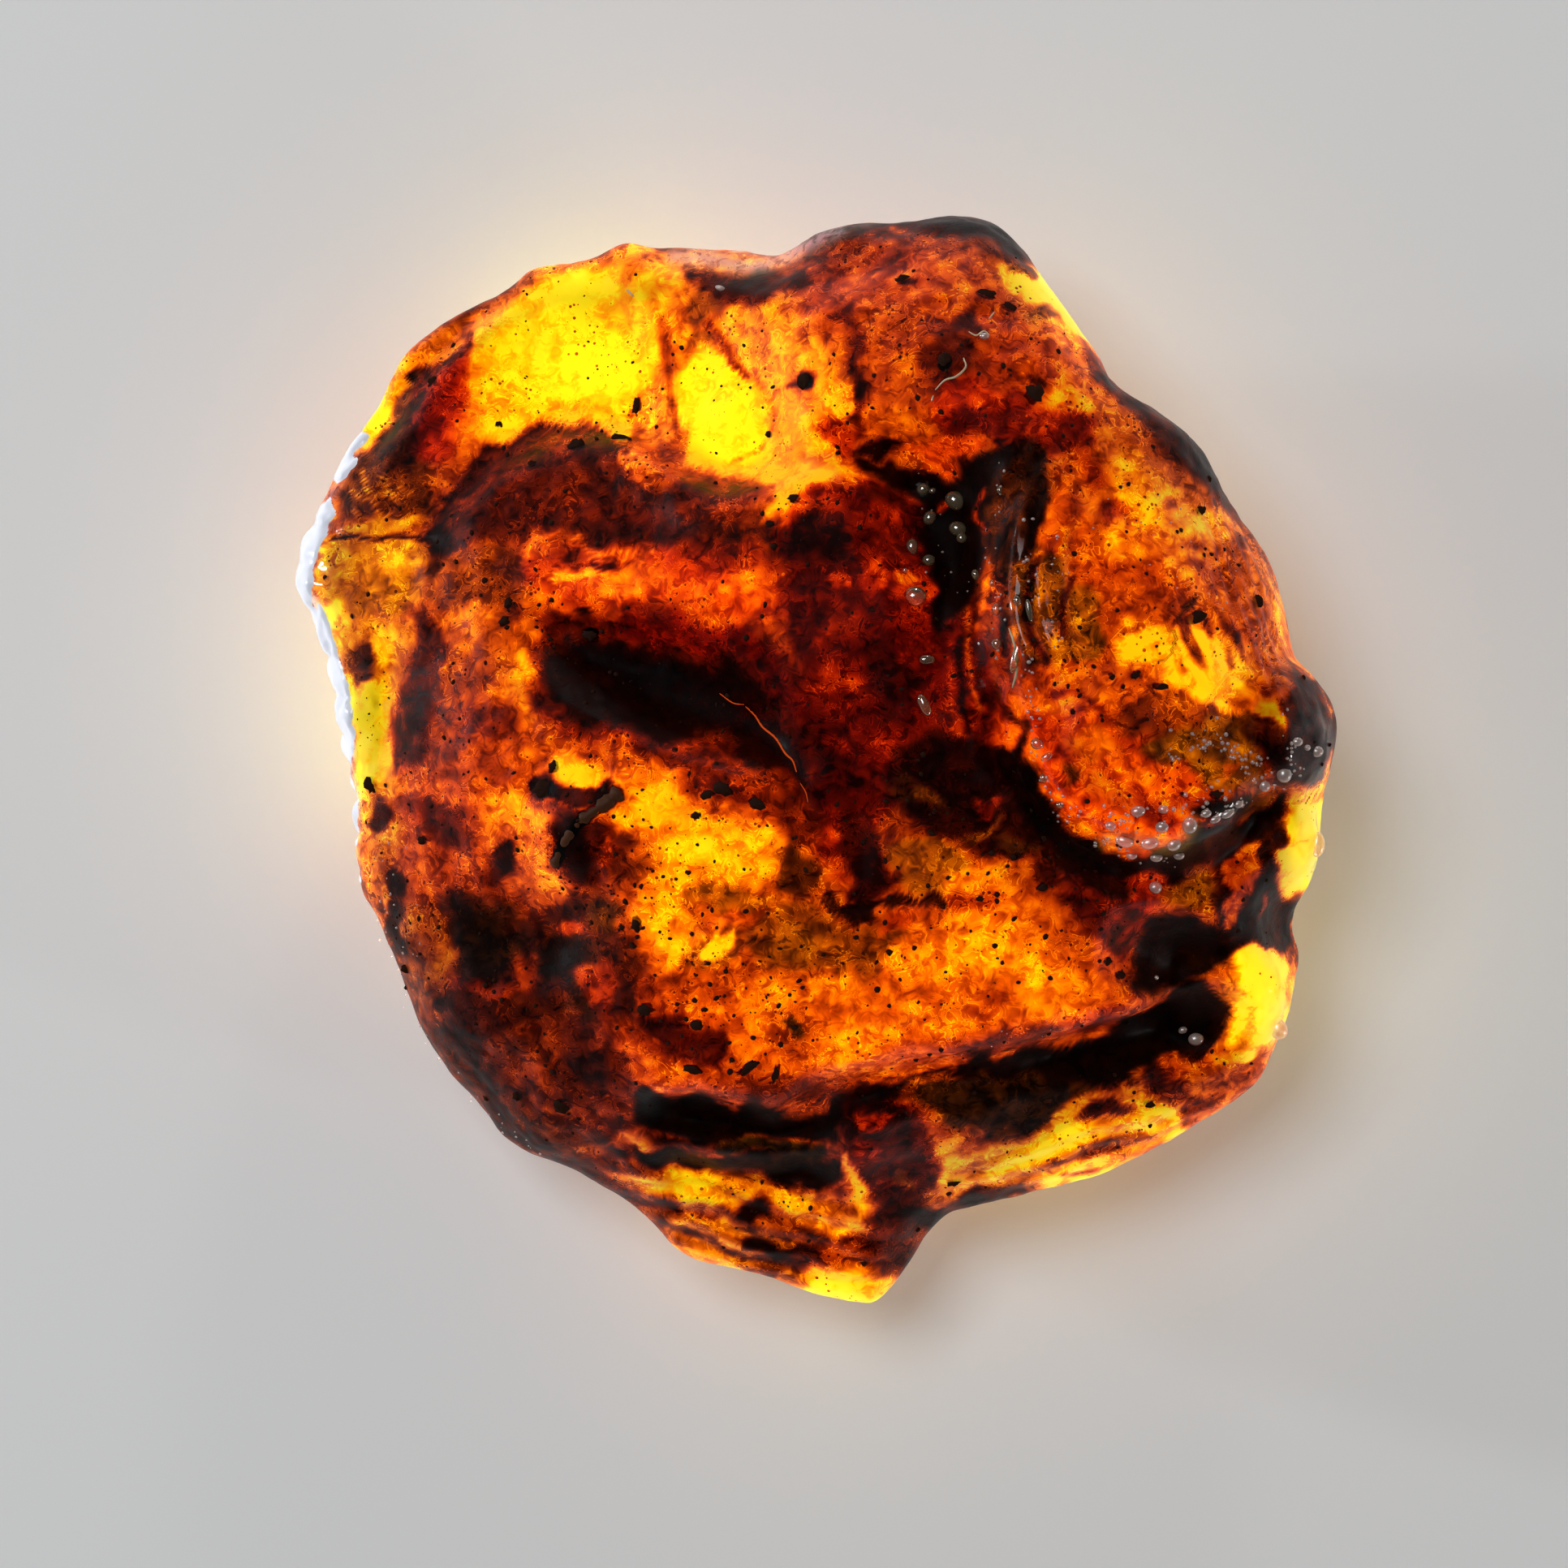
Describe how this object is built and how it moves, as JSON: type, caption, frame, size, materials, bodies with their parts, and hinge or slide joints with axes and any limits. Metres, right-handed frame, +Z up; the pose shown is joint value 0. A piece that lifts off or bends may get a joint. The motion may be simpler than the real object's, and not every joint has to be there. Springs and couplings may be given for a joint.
{
  "type": "rough amber lump",
  "caption": "Rough lump of clear-to-cloudy amber with a rounded body, a blunt point, flow ledges, hollows and grains of debris inside, lying on its flat underside.",
  "frame": {"origin": "on the floor, under the middle of the lump's outline", "axes": "+Z up from the face it rests on, +Y towards the blunt end (the pointed tip is at -Y), +X towards the knob"},
  "size_m": [0.0572, 0.06, 0.0241],
  "materials": {
    "amber": "clear to cloudy honey and red-brown resin, naturally glossy, with dark grains and a faint blue bloom"
  },
  "bodies": {
    "root": {"amber": "amber"}
  },
  "joints": []
}
